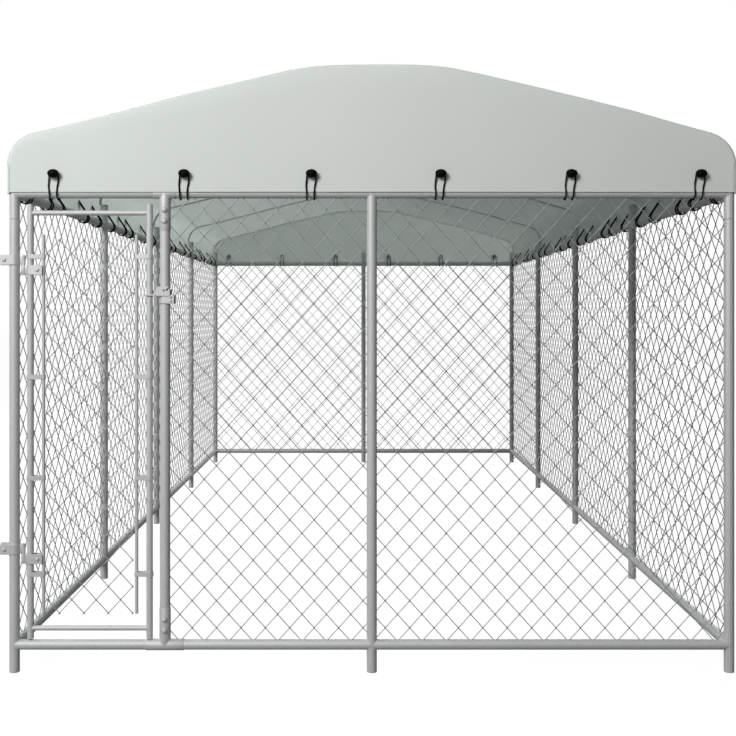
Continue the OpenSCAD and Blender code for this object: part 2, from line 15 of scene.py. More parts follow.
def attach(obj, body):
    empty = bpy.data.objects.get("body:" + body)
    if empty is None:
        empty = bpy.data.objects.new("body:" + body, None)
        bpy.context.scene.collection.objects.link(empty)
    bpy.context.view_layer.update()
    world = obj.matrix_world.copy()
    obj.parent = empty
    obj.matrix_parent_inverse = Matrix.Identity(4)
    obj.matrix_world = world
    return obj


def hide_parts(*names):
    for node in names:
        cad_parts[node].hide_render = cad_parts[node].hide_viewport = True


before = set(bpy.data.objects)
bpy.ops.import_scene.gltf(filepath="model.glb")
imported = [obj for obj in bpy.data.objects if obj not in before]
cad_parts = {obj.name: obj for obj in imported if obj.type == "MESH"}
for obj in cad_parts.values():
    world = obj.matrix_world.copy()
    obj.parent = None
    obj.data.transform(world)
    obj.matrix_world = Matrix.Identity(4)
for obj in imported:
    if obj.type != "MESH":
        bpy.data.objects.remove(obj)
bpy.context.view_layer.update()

# %% [markdown]
# The camera comes first. In the photograph the posts stay parallel, so the camera is level, and the
# side walls run to one vanishing point a little left of and above the middle of the picture. A level
# camera with a small lens shift gives exactly that, where a tilted one would make the posts lean.

# %% Camera
camera_data = bpy.data.cameras.new("photo_camera")
camera_data.lens = 49.5
camera_data.sensor_width = 36.0
camera_data.shift_x = 0.0140
camera_data.shift_y = -0.0738
camera_data.clip_end = 200.0
camera = bpy.data.objects.new("photo_camera", camera_data)
camera.location = (-0.0592, -7.25, 1.5028)
camera.rotation_euler = (math.radians(90), 0, 0)
bpy.context.scene.collection.objects.link(camera)
bpy.context.scene.camera = camera
print("camera at", tuple(round(v, 3) for v in camera.location))

# %% [markdown]
# The sizes below repeat the CAD model's, in metres, because the looks have to sit on the same tubes.
# The frame stands on a grid of square bays: two bays wide and four bays long.

# %% Sizes of the frame
BAY = 1.5
LEFT, RIGHT = -BAY, BAY
FRONT, BACK = -2 * BAY, 2 * BAY
TUBE_R, TUBE_WALL = 0.0212, 0.002
RAIL_LOW, RAIL_HIGH = 0.114, 2.008
POST_TOP = RAIL_HIGH + 0.102
DOOR_POST_X = LEFT + 0.632
HINGE_X = LEFT + 0.067
LATCH_X = DOOR_POST_X - 0.065
PIN_X = LEFT + 0.038

# %% [markdown]
# ## Finishes
# Every finish is a node material. A small helper starts a material with one shader, and each cell then
# adds the pattern that the real surface has. All patterns read Object coordinates, which are metres
# here because no piece is moved or scaled.


# %% Start a finish
def start_finish(name, color, roughness, metallic):
    finish = bpy.data.materials.new(name)
    finish.use_nodes = True
    nodes, links = finish.node_tree.nodes, finish.node_tree.links
    shader = nodes["Principled BSDF"]
    shader.inputs["Base Color"].default_value = (*color, 1)
    shader.inputs["Roughness"].default_value = roughness
    shader.inputs["Metallic"].default_value = metallic
    place = nodes.new("ShaderNodeTexCoord")
    return finish, nodes, links, shader, place.outputs["Object"]


def noise(nodes, links, place, scale, detail=2.0):
    node = nodes.new("ShaderNodeTexNoise")
    node.inputs["Scale"].default_value = scale
    node.inputs["Detail"].default_value = detail
    links.new(place, node.inputs["Vector"])
    return node.outputs["Fac"]


def color_ramp(nodes, links, value, stops):
    ramp = nodes.new("ShaderNodeValToRGB")
    for i, (at, color) in enumerate(stops):
        stop = ramp.color_ramp.elements[i] if i < 2 else ramp.color_ramp.elements.new(at)
        stop.position = at
        stop.color = (*color, 1)
    links.new(value, ramp.inputs["Fac"])
    return ramp.outputs["Color"]


def spread(nodes, links, value, low, high):
    node = nodes.new("ShaderNodeMapRange")
    node.inputs["To Min"].default_value = low
    node.inputs["To Max"].default_value = high
    links.new(value, node.inputs["Value"])
    return node.outputs["Result"]


def raise_bumps(nodes, links, shader, height, strength, distance):
    node = nodes.new("ShaderNodeBump")
    node.inputs["Strength"].default_value = strength
    node.inputs["Distance"].default_value = distance
    links.new(height, node.inputs["Height"])
    links.new(node.outputs["Normal"], shader.inputs["Normal"])
    return node


# %% [markdown]
# Hot-dip galvanised tube has a spangle: patches of zinc crystal a few millimetres across that catch
# the light a little differently. A cell pattern moves the colour and the roughness by a few percent,
# and a slow noise adds the cloudy drift along a tube.

# %% Galvanised tube, wire and zinc-plated fittings
def make_zinc(name, low, high, roughness, spangle, metallic):
    finish, nodes, links, shader, place = start_finish(name, high, roughness, metallic)
    cells = nodes.new("ShaderNodeTexVoronoi")
    cells.inputs["Scale"].default_value = spangle
    links.new(place, cells.inputs["Vector"])
    gray = nodes.new("ShaderNodeSeparateColor")
    links.new(cells.outputs["Color"], gray.inputs["Color"])
    cloud = noise(nodes, links, place, 9.0, 3.0)
    both = nodes.new("ShaderNodeMath")
    both.operation = "MULTIPLY_ADD"
    both.inputs[1].default_value = 0.45
    links.new(gray.outputs["Red"], both.inputs[0])
    links.new(spread(nodes, links, cloud, 0.0, 0.55), both.inputs[2])
    links.new(color_ramp(nodes, links, both.outputs[0], [(0.1, low), (0.9, high)]),
        shader.inputs["Base Color"])
    links.new(spread(nodes, links, both.outputs[0], roughness - 0.06, roughness + 0.08),
        shader.inputs["Roughness"])
    raise_bumps(nodes, links, shader, noise(nodes, links, place, 260.0, 2.0), 0.04, 0.0006)
    return finish


tube_zinc = make_zinc("galvanised_tube", (0.58, 0.59, 0.585), (0.66, 0.67, 0.662), 0.56, 140.0, 0.26)
# The front panels and the door take the lighter chain wire. The side and back walls take a darker copy of the
# same wire; that darkening is painted shade for wires seen edge-on, not weathering.
wire_zinc = make_zinc("chain_wire", (0.39, 0.40, 0.395), (0.47, 0.48, 0.475), 0.50, 300.0, 0.35)
shaded_wire_copy = make_zinc("chain_wire_painted_shade", (0.235, 0.245, 0.24), (0.305, 0.315, 0.31), 0.55, 300.0, 0.30)
plate_zinc = make_zinc("zinc_fittings", (0.58, 0.59, 0.585), (0.66, 0.67, 0.662), 0.48, 180.0, 0.3)
bolt_zinc = make_zinc("zinc_bolts", (0.54, 0.55, 0.545), (0.64, 0.65, 0.642), 0.54, 400.0, 0.28)

# %% [markdown]
# The canopy is coated woven polyethylene: a fine flat weave under a smooth film. Two crossed wave
# textures make the weave as a slight bump, and a slow noise keeps the big pale panels from being one
# flat colour. It hardly shines, but the roof lets light through, so that the slope towards the lamp
# glows inside. The front panel is doubled and lets none through.

# %% Canopy cloth
canopy_cloth, nodes, links, shader, place = start_finish("canopy_cloth", (0.70, 0.752, 0.722), 0.6, 0.0)
drift = noise(nodes, links, place, 1.3, 4.0)
links.new(color_ramp(nodes, links, drift, [(0.3, (0.70, 0.74, 0.71)), (0.7, (0.73, 0.77, 0.74))]),
    shader.inputs["Base Color"])
shader.inputs["Specular IOR Level"].default_value = 0.3
weave_sum = None
for direction in ("X", "Y", "Z"):
    band = nodes.new("ShaderNodeTexWave")
    band.bands_direction = direction
    band.inputs["Scale"].default_value = 110.0
    band.inputs["Distortion"].default_value = 0.4
    links.new(place, band.inputs["Vector"])
    if weave_sum is None:
        weave_sum = band.outputs["Fac"]
    else:
        add = nodes.new("ShaderNodeMath")
        add.operation = "ADD"
        links.new(weave_sum, add.inputs[0])
        links.new(band.outputs["Fac"], add.inputs[1])
        weave_sum = add.outputs[0]
raise_bumps(nodes, links, shader, weave_sum, 0.12, 0.0008)
through = nodes.new("ShaderNodeBsdfTranslucent")
through.inputs["Color"].default_value = (0.91, 0.95, 0.93, 1)
split = nodes.new("ShaderNodeSeparateXYZ")
links.new(place, split.inputs[0])
share = nodes.new("ShaderNodeMapRange")
share.inputs["From Min"].default_value = FRONT + 0.004
share.inputs["From Max"].default_value = FRONT - 0.012
share.inputs["To Min"].default_value = 0.55
share.inputs["To Max"].default_value = 0.0
links.new(split.outputs["Y"], share.inputs["Value"])
mix = nodes.new("ShaderNodeMixShader")
links.new(share.outputs["Result"], mix.inputs["Fac"])
links.new(shader.outputs[0], mix.inputs[1])
links.new(through.outputs[0], mix.inputs[2])
links.new(mix.outputs[0], nodes["Material Output"].inputs["Surface"])

# %% [markdown]
# The bungee cord has a black braided sleeve over rubber, and its knob is black moulded plastic. The
# caps in the post tops are dull gray plastic. Black is never quite black: each of these has a faint
# grain that shows where light grazes it.

# %% Cord, knob and plastic
cord_braid, nodes, links, shader, place = start_finish("bungee_braid", (0.003, 0.003, 0.003), 0.8, 0.0)
braid = nodes.new("ShaderNodeTexWave")
braid.bands_direction = "DIAGONAL"
braid.inputs["Scale"].default_value = 160.0
links.new(place, braid.inputs["Vector"])
links.new(color_ramp(nodes, links, braid.outputs["Fac"],
    [(0.2, (0.0015, 0.0015, 0.0015)), (0.8, (0.0045, 0.0045, 0.0045))]), shader.inputs["Base Color"])
shader.inputs["Specular IOR Level"].default_value = 0.05
raise_bumps(nodes, links, shader, braid.outputs["Fac"], 0.4, 0.0006)

knob_plastic, nodes, links, shader, place = start_finish("bungee_knob", (0.002, 0.002, 0.002), 0.6, 0.0)
grain = noise(nodes, links, place, 420.0, 2.0)
links.new(color_ramp(nodes, links, grain, [(0.3, (0.001, 0.001, 0.001)), (0.7, (0.003, 0.003, 0.003))]),
    shader.inputs["Base Color"])
shader.inputs["Specular IOR Level"].default_value = 0.08
raise_bumps(nodes, links, shader, grain, 0.1, 0.0003)

gray_plastic, nodes, links, shader, place = start_finish("gray_plastic", (0.45, 0.46, 0.455), 0.5, 0.0)
grain = noise(nodes, links, place, 350.0, 3.0)
links.new(color_ramp(nodes, links, grain, [(0.3, (0.42, 0.43, 0.425)), (0.7, (0.48, 0.49, 0.485))]),
    shader.inputs["Base Color"])
raise_bumps(nodes, links, shader, grain, 0.15, 0.0003)
print("finishes", [m.name for m in bpy.data.materials])

# %% [markdown]
# ## Tools for making pieces
# Nearly everything here is turned or bent: a tube, a bolt head and a knob are turned shapes, and a
# strap, a cord or a wire is a section carried along a path. So two helpers do most of the work. One
# spins a profile round an axis; the other extrudes a ring of edges from one point of a path to the next.


# %% Turning and sweeping
def standing(x, y, z):
    return Matrix.Translation((x, y, z))


def lying_x(x, y, z):
    return Matrix.Translation((x, y, z)) @ Matrix.Rotation(math.radians(90), 4, "Y")


def lying_y(x, y, z):
    return Matrix.Translation((x, y, z)) @ Matrix.Rotation(math.radians(-90), 4, "X")


def turn(shape, profile, place, steps=32, closed=False):
    rim = [shape.verts.new(place @ Vector((r, 0, h))) for r, h in profile]
    pairs = list(zip(rim, rim[1:])) + ([(rim[-1], rim[0])] if closed else [])
    edges = [shape.edges.new(pair) for pair in pairs]
    bmesh.ops.spin(shape, geom=rim + edges, cent=place.translation, axis=place.to_3x3() @ Vector((0, 0, 1)),
                   angle=2 * math.pi, steps=steps, use_merge=True, use_duplicate=False)


def turn_tube(shape, length, outer, wall, place, steps=32, rim=0.0007):
    turn(shape, [(outer - rim, 0), (outer, rim), (outer, length - rim), (outer - rim, length),
                 (outer - wall, length), (outer - wall, 0)], place, steps, closed=True)


def path_frames(path, up):
    frames = []
    for i, point in enumerate(path):
        ahead = (path[min(i + 1, len(path) - 1)] - path[max(i - 1, 0)]).normalized()
        across = up.cross(ahead).normalized()
        rotation = Matrix((across, ahead.cross(across), ahead)).transposed()
        frames.append(Matrix.Translation(point) @ rotation.to_4x4())
    return frames


def sweep(shape, path, section, up, capped=True, ring=False):
    if ring:
        path = path + [path[0]]
    frames = path_frames(path, up)
    if ring:
        ahead = (path[1] - path[-2]).normalized()
        across = up.cross(ahead).normalized()
        join = Matrix.Translation(path[0]) @ Matrix((across, ahead.cross(across),
            ahead)).transposed().to_4x4()
        frames[0] = frames[-1] = join
    verts = [shape.verts.new(frames[0] @ Vector((a, b, 0))) for a, b in section]
    edges = [shape.edges.new(pair) for pair in zip(verts, verts[1:] + verts[:1])]
    first = edges
    made = list(verts)
    for before, after in zip(frames, frames[1:]):
        grown = bmesh.ops.extrude_edge_only(shape, edges=edges)["geom"]
        fresh = [g for g in grown if isinstance(g, bmesh.types.BMVert)]
        known = set(fresh)
        edges = [g for g in grown if isinstance(g,
            bmesh.types.BMEdge) and g.verts[0] in known and g.verts[1] in known]
        bmesh.ops.transform(shape, matrix=after @ before.inverted(), verts=fresh)
        made += fresh
    if ring:
        bmesh.ops.remove_doubles(shape, verts=made, dist=1e-6)
    elif capped:
        bmesh.ops.edgeloop_fill(shape, edges=first)
        bmesh.ops.edgeloop_fill(shape, edges=edges)
    return made


def round_section(radius, sides):
    return [(radius * math.cos(2 * math.pi * i / sides), radius * math.sin(2 * math.pi * i / sides))
        for i in range(sides)]


def flat_section(thick, tall, edge=0.0005):
    a, b = thick / 2, tall / 2
    return [(-a + edge, -b), (a - edge, -b), (a, -b + edge), (a, b - edge), (a - edge, b), (-a + edge, b),
        (-a, b - edge), (-a, -b + edge)]


# %% [markdown]
# A finished shape becomes an object in one step: it gets its finish, smooth shading with sharp edges
# kept and the CAD body it moves with, and the CAD nodes it stands for are hidden.


# %% Finish a piece
def finish_piece(name, shape, finish, body="frame", nodes=(), sharp=35, merge=True, outward=True):
    if merge:
        bmesh.ops.remove_doubles(shape, verts=shape.verts[:], dist=2e-6)
    if outward:
        bmesh.ops.recalc_face_normals(shape, faces=shape.faces[:])
    mesh = bpy.data.meshes.new(name)
    shape.to_mesh(mesh)
    shape.free()
    mesh.materials.append(finish)
    mesh.shade_smooth()
    mesh.set_sharp_from_angle(angle=math.radians(sharp))
    piece = bpy.data.objects.new(name, mesh)
    bpy.context.scene.collection.objects.link(piece)
    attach(piece, body)
    if nodes:
        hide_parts(*nodes)
    print(name, len(mesh.polygons), "faces")
    return piece


# %% [markdown]
# ## Posts and rails
# A post is a plain tube on the ground. Where a rail of the same diameter meets it, the two cylinders
# cross in a V, and the maker runs a thin weld along that line. The V comes by itself if the rail runs
# to the post's axis, and the weld is a thin round sweep along the crossing curve. A corner post is made
# of two lengths, whose ends meet in a fine seam a little below the top rails.

# %% Posts
def make_posts(name, spots, node, seam=None):
    shape = bmesh.new()
    for x, y in spots:
        if seam:
            turn_tube(shape, seam - 0.0007, TUBE_R, TUBE_WALL, standing(x, y, 0), steps=40, rim=0.0012)
            turn_tube(shape, POST_TOP - seam, TUBE_R, TUBE_WALL, standing(x, y, seam), steps=40, rim=0.0012)
        else:
            turn_tube(shape, POST_TOP, TUBE_R, TUBE_WALL, standing(x, y, 0), steps=40)
    return finish_piece(name, shape, tube_zinc, nodes=[node])


SEAM_Z = 1.899
make_posts("corner_post_front_left", [(LEFT, FRONT)], "front_left_post", SEAM_Z)
make_posts("corner_post_front_right", [(RIGHT, FRONT)], "front_right_post", SEAM_Z)
make_posts("corner_post_back_left", [(LEFT, BACK)], "back_left_post", SEAM_Z)
make_posts("corner_post_back_right", [(RIGHT, BACK)], "back_right_post", SEAM_Z)
make_posts("centre_post_front", [(0, FRONT)], "front_centre_post")
make_posts("centre_post_back", [(0, BACK)], "back_centre_post")
make_posts("side_posts_left", [(LEFT, y) for y in (-BAY, 0, BAY)], "left_side_posts")
make_posts("side_posts_right", [(RIGHT, y) for y in (-BAY, 0, BAY)], "right_side_posts")


# %% Rails with their welds
def weld_ring(shape, place, radius, post_radius, bead):
    path = []
    for i in range(28):
        turned = 2 * math.pi * i / 28
        across, high = radius * math.cos(turned), radius * math.sin(turned)
        reach = math.sqrt(max(post_radius ** 2 - across ** 2, 0.0))
        path.append(place @ Vector((reach + bead * 0.4, across, high)))
    sweep(shape, path, round_section(bead, 5), place.to_3x3() @ Vector((1, 0, 0.001)), ring=True)


def make_rails(name, ends, z, node):
    shape = bmesh.new()
    for (x0, y0), (x1, y1) in ends:
        run = Vector((x1 - x0, y1 - y0, 0))
        lay = lying_x(x0, y0, z) if abs(run.x) > abs(run.y) else lying_y(x0, y0, z)
        turn_tube(shape, run.length, TUBE_R, TUBE_WALL, lay, steps=40)
        heading = math.atan2(run.y, run.x)
        for spot, angle in (((x0, y0), heading), ((x1, y1), heading + math.pi)):
            place = Matrix.Translation((*spot, z)) @ Matrix.Rotation(angle, 4, "Z")
            weld_ring(shape, place, TUBE_R, TUBE_R, 0.0016)
    return finish_piece(name, shape, tube_zinc, nodes=[node])


side_bays = [(-2 * BAY + i * BAY, -BAY + i * BAY) for i in range(4)]
for level, z in (("bottom", RAIL_LOW), ("top", RAIL_HIGH)):
    make_rails(f"{level}_rail_front_left", [((LEFT, FRONT), (0, FRONT))], z, f"front_left_{level}_rail")
    make_rails(f"{level}_rail_front_right", [((0, FRONT), (RIGHT, FRONT))], z, f"front_right_{level}_rail")
    make_rails(f"{level}_rails_back", [((LEFT, BACK), (0, BACK)), ((0, BACK), (RIGHT, BACK))], z,
        f"back_{level}_rails")
    make_rails(f"{level}_rails_left", [((LEFT, a), (LEFT, b)) for a, b in side_bays], z,
        f"left_{level}_rails")
    make_rails(f"{level}_rails_right", [((RIGHT, a), (RIGHT, b)) for a, b in side_bays], z,
        f"right_{level}_rails")

# %% [markdown]
# The door post doesn't reach the ground. A cast tee at each end grips the rail with one sleeve and the
# post with the other, and two round-headed bolts go through each tee. The sleeves' mouths are rounded.

# %% Door post and its tees
TEE_R, TEE_LENGTH = 0.0234, 0.157
shape = bmesh.new()
turn_tube(shape, RAIL_HIGH - RAIL_LOW, TUBE_R, TUBE_WALL, standing(DOOR_POST_X, FRONT, RAIL_LOW), steps=40)
finish_piece("door_post_tube", shape, tube_zinc, nodes=["door_post"])


def sleeve(length, outer, wall, edge=0.0016):
    return [(outer - wall, 0), (outer - edge, 0), (outer - edge * 0.3, edge * 0.3), (outer, edge),
        (outer, length - edge),
            (outer - edge * 0.3, length - edge * 0.3), (outer - edge, length), (outer - wall, length)]


for name, node, z, arm, down in (("tee_bottom", "door_post_bottom_tee", RAIL_LOW, 0.080, 1),
        ("tee_top", "door_post_top_tee", RAIL_HIGH, 0.046, -1)):
    shape = bmesh.new()
    turn(shape, sleeve(2 * arm, TEE_R, 0.002), lying_x(DOOR_POST_X - arm, FRONT, z), 40, closed=True)
    turn(shape, sleeve(TEE_LENGTH, TEE_R, 0.002),
        standing(DOOR_POST_X, FRONT, z if down > 0 else z - TEE_LENGTH), 40, closed=True)
    place = Matrix.Translation((DOOR_POST_X, FRONT, z)) @ Matrix.Rotation(math.radians(-90 * down), 4, "Y")
    weld_ring(shape, place, TEE_R, TEE_R, 0.0018)
    finish_piece(name, shape, tube_zinc, nodes=[node])


# %% [markdown]
# All bolts in the frame are the same kind: a low round head on one side and a hexagon nut with the end
# of the thread standing out on the other. A hexagon is a turned shape with six steps.

# %% Bolts
def add_bolt(shape, x, y, z, grip, shank, head, crown=1.0):
    dome = [(head * r, -crown * h) for r,
        h in ((0, 0.0052), (0.22, 0.0048), (0.36, 0.0038), (0.46, 0.0022), (0.5, 0.0008),
        (0.48, 0))] + [(shank / 2, 0)]
    turn(shape, dome, lying_y(x, y, z), 24)
    tail = [(0, grip + 0.0092), (shank * 0.36, grip + 0.0092), (shank * 0.5, grip + 0.0082),
        (shank * 0.46, grip + 0.0074),
            (shank * 0.5, grip + 0.0066), (shank * 0.5, 0)]
    turn(shape, tail, lying_y(x, y, z), 16)
    nut = [(shank * 0.5, grip), (shank * 0.92, grip), (shank * 0.99, grip + 0.0006),
        (shank * 0.99, grip + 0.0054), (shank * 0.9, grip + 0.006), (shank * 0.5, grip + 0.006)]
    turn(shape, nut, lying_y(x, y, z), 6)


TEE_SHANK, TEE_HEAD, TEE_CROWN = 0.008, 0.023, 1.35
over_bottom_rail, under_top_rail = (0.0635, 0.109), (0.072, 0.118)
shape = bmesh.new()
for z in [RAIL_LOW + rise for rise in over_bottom_rail] + [RAIL_HIGH - drop for drop in under_top_rail]:
    add_bolt(shape, DOOR_POST_X, FRONT - TEE_R, z, 2 * TEE_R, TEE_SHANK, TEE_HEAD, TEE_CROWN)
finish_piece("tee_bolt_set", shape, bolt_zinc, nodes=["tee_bolts"])

# %% [markdown]
# ## Chain link
# Chain link is a row of flattened wire spirals, each wound through its neighbour. Seen from the front
# every rising run lies in front and every falling run behind, and at each crossing two bends hook each
# other. So one spiral is swept once, a second is set half a diamond over, the pair is repeated along the
# wall by a spin that doesn't turn but steps sideways, and the cloth is trimmed to its opening.

# %% Weave a panel of chain link
WIRE_R = 0.0020
DIAMOND_W, DIAMOND_H = 0.1025, 0.1134


def spiral_path(bottom, periods):
    half_w, half_h = DIAMOND_W / 2, DIAMOND_H / 2
    over, depth = WIRE_R * 1.3, WIRE_R * 1.15
    soft = 0.0045
    rise = soft * half_h / half_w
    path = []
    for i in range(periods):
        z = bottom + i * DIAMOND_H
        path += [Vector(p) for p in (
            (-over, 0, z), (-over * 0.35, -depth * 0.85, z + rise * 0.35), (soft, -depth, z + rise),
            (half_w - soft, -depth, z + half_h - rise),
            (half_w + over * 0.35, -depth * 0.85, z + half_h - rise * 0.35),
            (half_w + over, 0, z + half_h),
            (half_w + over * 0.35, depth * 0.85, z + half_h + rise * 0.35),
            (half_w - soft, depth, z + half_h + rise),
            (soft, depth, z + DIAMOND_H - rise), (-over * 0.35, depth * 0.85, z + DIAMOND_H - rise * 0.35))]
    return path


def weave(width, height, start, low_trim, high_trim, drop=0.0):
    cloth = bmesh.new()
    periods = int(height / DIAMOND_H) + 4
    columns = int(width / DIAMOND_W) + 4
    first = start - (int(start / DIAMOND_W) + 2) * DIAMOND_W
    for shift_x, shift_z in ((0, 0), (DIAMOND_W / 2, DIAMOND_H / 2)):
        path = [p + Vector((first + shift_x, 0, shift_z - drop))
            for p in spiral_path(-2 * DIAMOND_H, periods + 1)]
        sweep(cloth, path, round_section(WIRE_R, 5), Vector((0.0, 1.0, 0.001)), capped=False)
    everything = cloth.verts[:] + cloth.edges[:] + cloth.faces[:]
    bmesh.ops.spin(cloth, geom=everything, cent=(0, 0, 0), axis=(0, 0, 1), dvec=(DIAMOND_W, 0, 0), angle=0,
        steps=columns, use_duplicate=True)
    for at, out in (((0, 0, 0), (-1, 0, 0)), ((width, 0, 0), (1, 0, 0)), ((0, 0, -low_trim), (0, 0, -1)),
            ((0, 0, height + high_trim), (0, 0, 1))):
        everything = cloth.verts[:] + cloth.edges[:] + cloth.faces[:]
        bmesh.ops.bisect_plane(cloth, geom=everything, dist=1e-7, plane_co=at, plane_no=out, clear_outer=True)
    return cloth


# %% [markdown]
# Each wall bay takes one width of cloth between two posts. The opening is drawn a little past the tube
# faces, so that every wire ends inside a tube. The side walls hold four bays in one piece.

# %% Wall panels
WALL_H = RAIL_HIGH - RAIL_LOW - 2 * TUBE_R
TUCK = 0.012


def wall_cloth(width, start):
    cloth = weave(width - 2 * TUBE_R + 2 * TUCK, WALL_H, start - TUBE_R + TUCK, TUCK, TUCK, drop=0.008)
    bmesh.ops.translate(cloth, verts=cloth.verts[:], vec=(TUBE_R - TUCK, 0, RAIL_LOW + TUBE_R))
    return cloth


# By default a wall takes the darker wire copy, whose darkness is painted shade.
def hang_cloth(name, node, width, start, places, finish=shaded_wire_copy):
    one = bpy.data.meshes.new("panel")
    cloth = wall_cloth(width, start)
    cloth.to_mesh(one)
    cloth.free()
    shape = bmesh.new()
    for place in places:
        known = len(shape.verts)
        shape.from_mesh(one)
        shape.verts.ensure_lookup_table()
        bmesh.ops.transform(shape, matrix=place, verts=shape.verts[known:])
    bpy.data.meshes.remove(one)
    return finish_piece(name, shape, finish, nodes=[node], sharp=80, merge=False, outward=False)


quarter = Matrix.Rotation(math.radians(90), 4, "Z")
STARTED, CUT = 0.107, 0.089
hang_cloth("chain_link_front_right", "front_right_mesh", BAY, STARTED, [standing(0, FRONT, 0)], wire_zinc)
hang_cloth("chain_link_front_left", "front_left_mesh", -DOOR_POST_X, -DOOR_POST_X - CUT,
    [standing(DOOR_POST_X, FRONT, 0)], wire_zinc)
# The back and side walls take the darker wire copy, whose darkness is painted shade.
hang_cloth("chain_link_back_left", "back_left_mesh", BAY, BAY - STARTED, [standing(LEFT, BACK, 0)])
hang_cloth("chain_link_back_right", "back_right_mesh", BAY, CUT, [standing(0, BACK, 0)])
hang_cloth("chain_link_left", "left_wall_mesh", BAY, STARTED,
    [standing(LEFT, a, 0) @ quarter for a, b in side_bays])
hang_cloth("chain_link_right", "right_wall_mesh", BAY, STARTED,
    [standing(RIGHT, a, 0) @ quarter for a, b in side_bays])

# %% [markdown]
# ## Door
# The door is a light frame of thinner tube in the same plane as the wall: two long stiles and two cross
# rails. Its own piece of chain link is stretched between two tension bars, and four pressed bands on
# each side tie a bar to its stile.

# %% Door tubes
STILE_R, CROSS_R, BAR_R = 0.01345, 0.01065, 0.0070
DOOR_LOW = RAIL_LOW + TUBE_R + 0.004
DOOR_HIGH = RAIL_HIGH - TUBE_R - 0.025
CROSS_LOW, CROSS_HIGH = DOOR_LOW + 0.044, DOOR_HIGH - 0.036
NET_LOW = CROSS_LOW + 0.062
NET_ROWS = 14
NET_ROW = 0.1119
NET_TOP = NET_LOW + NET_ROWS * NET_ROW
for name, node, x in (("stile_hinge_side", "door_hinge_stile", HINGE_X),
        ("stile_latch_side", "door_latch_stile", LATCH_X)):
    shape = bmesh.new()
    turn_tube(shape, DOOR_HIGH - DOOR_LOW, STILE_R, 0.0018, standing(x, FRONT, DOOR_LOW), steps=32)
    finish_piece(name, shape, tube_zinc, "door", [node])
for name, node, z in (("cross_rail_top", "door_top_rail", CROSS_HIGH),
        ("cross_rail_bottom", "door_bottom_rail", CROSS_LOW)):
    shape = bmesh.new()
    turn_tube(shape, LATCH_X - HINGE_X, CROSS_R, 0.0018, lying_x(HINGE_X, FRONT, z), steps=32)
    for x, angle in ((HINGE_X, 0.0), (LATCH_X, math.pi)):
        weld_ring(shape, Matrix.Translation((x, FRONT, z)) @ Matrix.Rotation(angle, 4, "Z"), CROSS_R,
            STILE_R, 0.0014)
    finish_piece(name, shape, tube_zinc, "door", [node])

# %% Tension bars, bands and the door's chain link
BAR_STEP = 0.0545
BAR_LOW, BAR_HIGH = NET_LOW - 0.001, NET_TOP + 0.0236
shape = bmesh.new()
for x in (HINGE_X + BAR_STEP, LATCH_X - BAR_STEP):
    length = BAR_HIGH - BAR_LOW
    turn(shape, [(0, 0), (BAR_R - 0.0015, 0), (BAR_R, 0.0015), (BAR_R, length - 0.0015),
        (BAR_R - 0.0015, length), (0, length)], standing(x, FRONT, BAR_LOW), 24)
finish_piece("tension_bars", shape, tube_zinc, "door", ["door_tension_bars"])


def band_path(x, far_x, near_r, far_r, z, arc=12):
    step = far_x - x
    side = 1 if step > 0 else -1
    lean = math.acos((near_r - far_r) / abs(step))
    lip = math.radians(30)
    path = []
    for at, radius, begin, end in ((far_x, far_r, lip, lean), (x, near_r, lean, 2 * math.pi - lean),
            (far_x, far_r, -lean, -lip)):
        for i in range(arc + 1):
            a = begin + (end - begin) * i / arc
            path.append(Vector((at + side * radius * math.cos(a), FRONT + radius * math.sin(a), z)))
    return path


shape = bmesh.new()
for above in (0.165, 0.568, 0.992, 1.497):
    for x, far_x in ((HINGE_X, HINGE_X + BAR_STEP), (LATCH_X, LATCH_X - BAR_STEP)):
        sweep(shape, band_path(x, far_x, STILE_R + 0.0014, BAR_R + 0.0014, NET_LOW + above),
            flat_section(0.0025, 0.019), Vector((0, 0, 1)))
finish_piece("tension_bands", shape, plate_zinc, "door", ["door_tension_bands"])

net_left, net_right = HINGE_X + 0.0664, LATCH_X - 0.0716
shape = weave(net_right - net_left + 0.006, NET_ROWS * DIAMOND_H, net_right - net_left + 0.003, 0.004, 0.004)
bmesh.ops.scale(shape, verts=shape.verts[:], vec=(1, 1, NET_ROW / DIAMOND_H))
bmesh.ops.translate(shape, verts=shape.verts[:], vec=(net_left - 0.003, FRONT, NET_LOW))
finish_piece("chain_link_door", shape, wire_zinc, "door", ["door_mesh"], sharp=80,
    merge=False, outward=False)

# %% [markdown]
# ## Hinges and latch
# Each hinge is two bent straps. One grips the corner post, its ears pointing away from the door with a
# bolt through them, and carries the pin; the other grips the door's stile just below and turns on that
# pin. A strap is a flat section carried along a U.

# %% Straps
STRAP_T, LEAF_H = 0.003, 0.042


def strap_path(x, radius, ear, side, z, arc=16):
    path = [Vector((x + side * ear, FRONT - radius, z))]
    for i in range(arc + 1):
        a = math.radians(-90 - 180 * i / arc)
        path.append(Vector((x + side * radius * math.cos(a), FRONT + radius * math.sin(a), z)))
    path.append(Vector((x + side * ear, FRONT + radius, z)))
    return path


def add_block(shape, low, high, edge=0.0008):
    size = Vector(high) - Vector(low)
    middle = (Vector(high) + Vector(low)) / 2
    made = bmesh.ops.create_cube(shape, size=1,
        matrix=Matrix.Translation(middle) @ Matrix.Diagonal((*size, 1)))
    sides = list({e for v in made["verts"] for e in v.link_edges})
    bmesh.ops.bevel(shape, geom=sides, offset=edge, segments=2, profile=0.5, affect="EDGES", material=-1)


